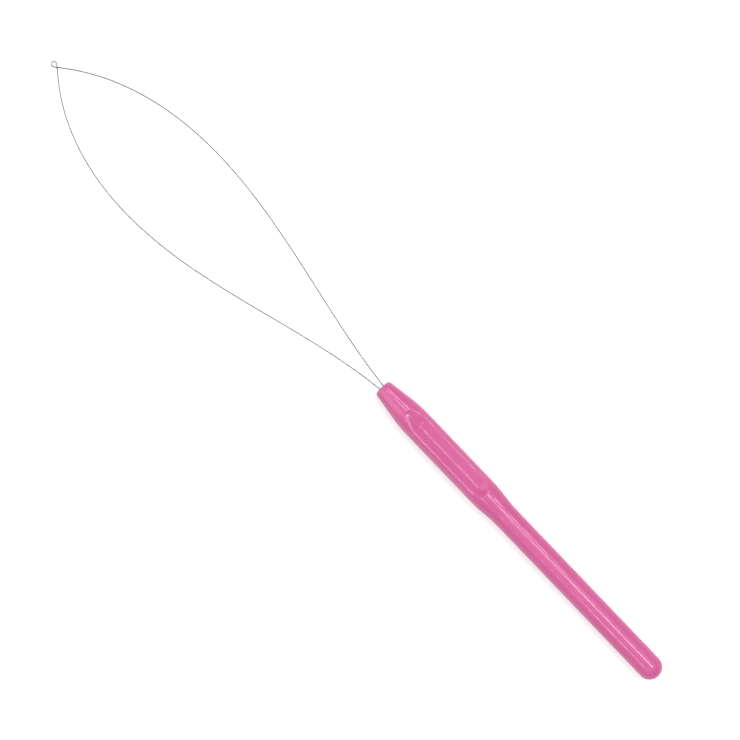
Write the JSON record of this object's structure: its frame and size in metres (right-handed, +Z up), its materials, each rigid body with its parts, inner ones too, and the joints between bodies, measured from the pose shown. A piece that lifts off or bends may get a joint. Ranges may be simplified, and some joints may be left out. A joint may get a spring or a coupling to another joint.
{
  "type": "needle threader",
  "caption": "Slim round moulded handle with finger recesses and a long springy wire loop that ends in a small round eye.",
  "frame": {"origin": "centre of the handle's nose face, on the handle's axis", "axes": "+X out of the nose towards the tip of the loop, +Z up with the threader lying flat and a finger recess on top, +Y to the left"},
  "size_m": [0.2157, 0.0271, 0.0074],
  "materials": {
    "pink_plastic": "glossy moulded plastic, solid pink",
    "spring_wire": "bright drawn spring wire",
    "bond": "cured adhesive"
  },
  "bodies": {
    "handle": {"handle_body": "pink_plastic", "bond_plug": "bond", "wire_tails": "spring_wire"},
    "left_inner": {"left_leg_inner": "spring_wire"},
    "left_middle": {"left_leg_middle": "spring_wire"},
    "left_outer": {"left_leg_outer": "spring_wire"},
    "right_inner": {"right_leg_inner": "spring_wire"},
    "right_middle": {"right_leg_middle": "spring_wire"},
    "right_outer": {"right_leg_outer": "spring_wire"},
    "tip_eye": {"tip_eye": "spring_wire"}
  },
  "joints": [
    {"name": "loop_squeeze", "type": "hinge", "parent": "handle", "child": "right_inner", "pos_m": [0.00025, -0.00051, 0], "axis": [0, 0, 1], "range_deg": [0, 12], "stiffness_Nm_per_rad": 0.0015},
    {"name": "right_knee", "type": "hinge", "parent": "right_inner", "child": "right_middle", "pos_m": [0.06443, -0.01051, 0], "axis": [0, 0, 1], "range_deg": [-20, 0]},
    {"name": "right_shoulder", "type": "hinge", "parent": "right_middle", "child": "right_outer", "pos_m": [0.09361, -0.00735, 0], "axis": [0, 0, 1], "range_deg": [-20, 0]},
    {"name": "left_root", "type": "hinge", "parent": "handle", "child": "left_inner", "pos_m": [0.00025, 0.00074, 0], "axis": [0, 0, 1], "range_deg": [-7.88, 0]},
    {"name": "left_knee", "type": "hinge", "parent": "left_inner", "child": "left_middle", "pos_m": [0.06354, 0.01528, 0], "axis": [0, 0, 1], "range_deg": [0, 2.12]},
    {"name": "left_shoulder", "type": "hinge", "parent": "left_middle", "child": "left_outer", "pos_m": [0.09284, 0.01417, 0], "axis": [0, 0, 1], "range_deg": [0, 38.38]},
    {"name": "eye_turn", "type": "hinge", "parent": "left_outer", "child": "tip_eye", "pos_m": [0.11212, 0.00476, 0], "axis": [0, 0, 1], "range_deg": [-32.62, 0]}
  ],
  "couplings": [
    {"joint": "right_knee", "follows": "loop_squeeze", "ratio": -1.65},
    {"joint": "right_shoulder", "follows": "loop_squeeze", "ratio": -1.65},
    {"joint": "left_root", "follows": "loop_squeeze", "ratio": -0.65},
    {"joint": "left_knee", "follows": "loop_squeeze", "ratio": 0.175},
    {"joint": "left_shoulder", "follows": "loop_squeeze", "ratio": 3.1667},
    {"joint": "eye_turn", "follows": "loop_squeeze", "ratio": -2.6917}
  ]
}
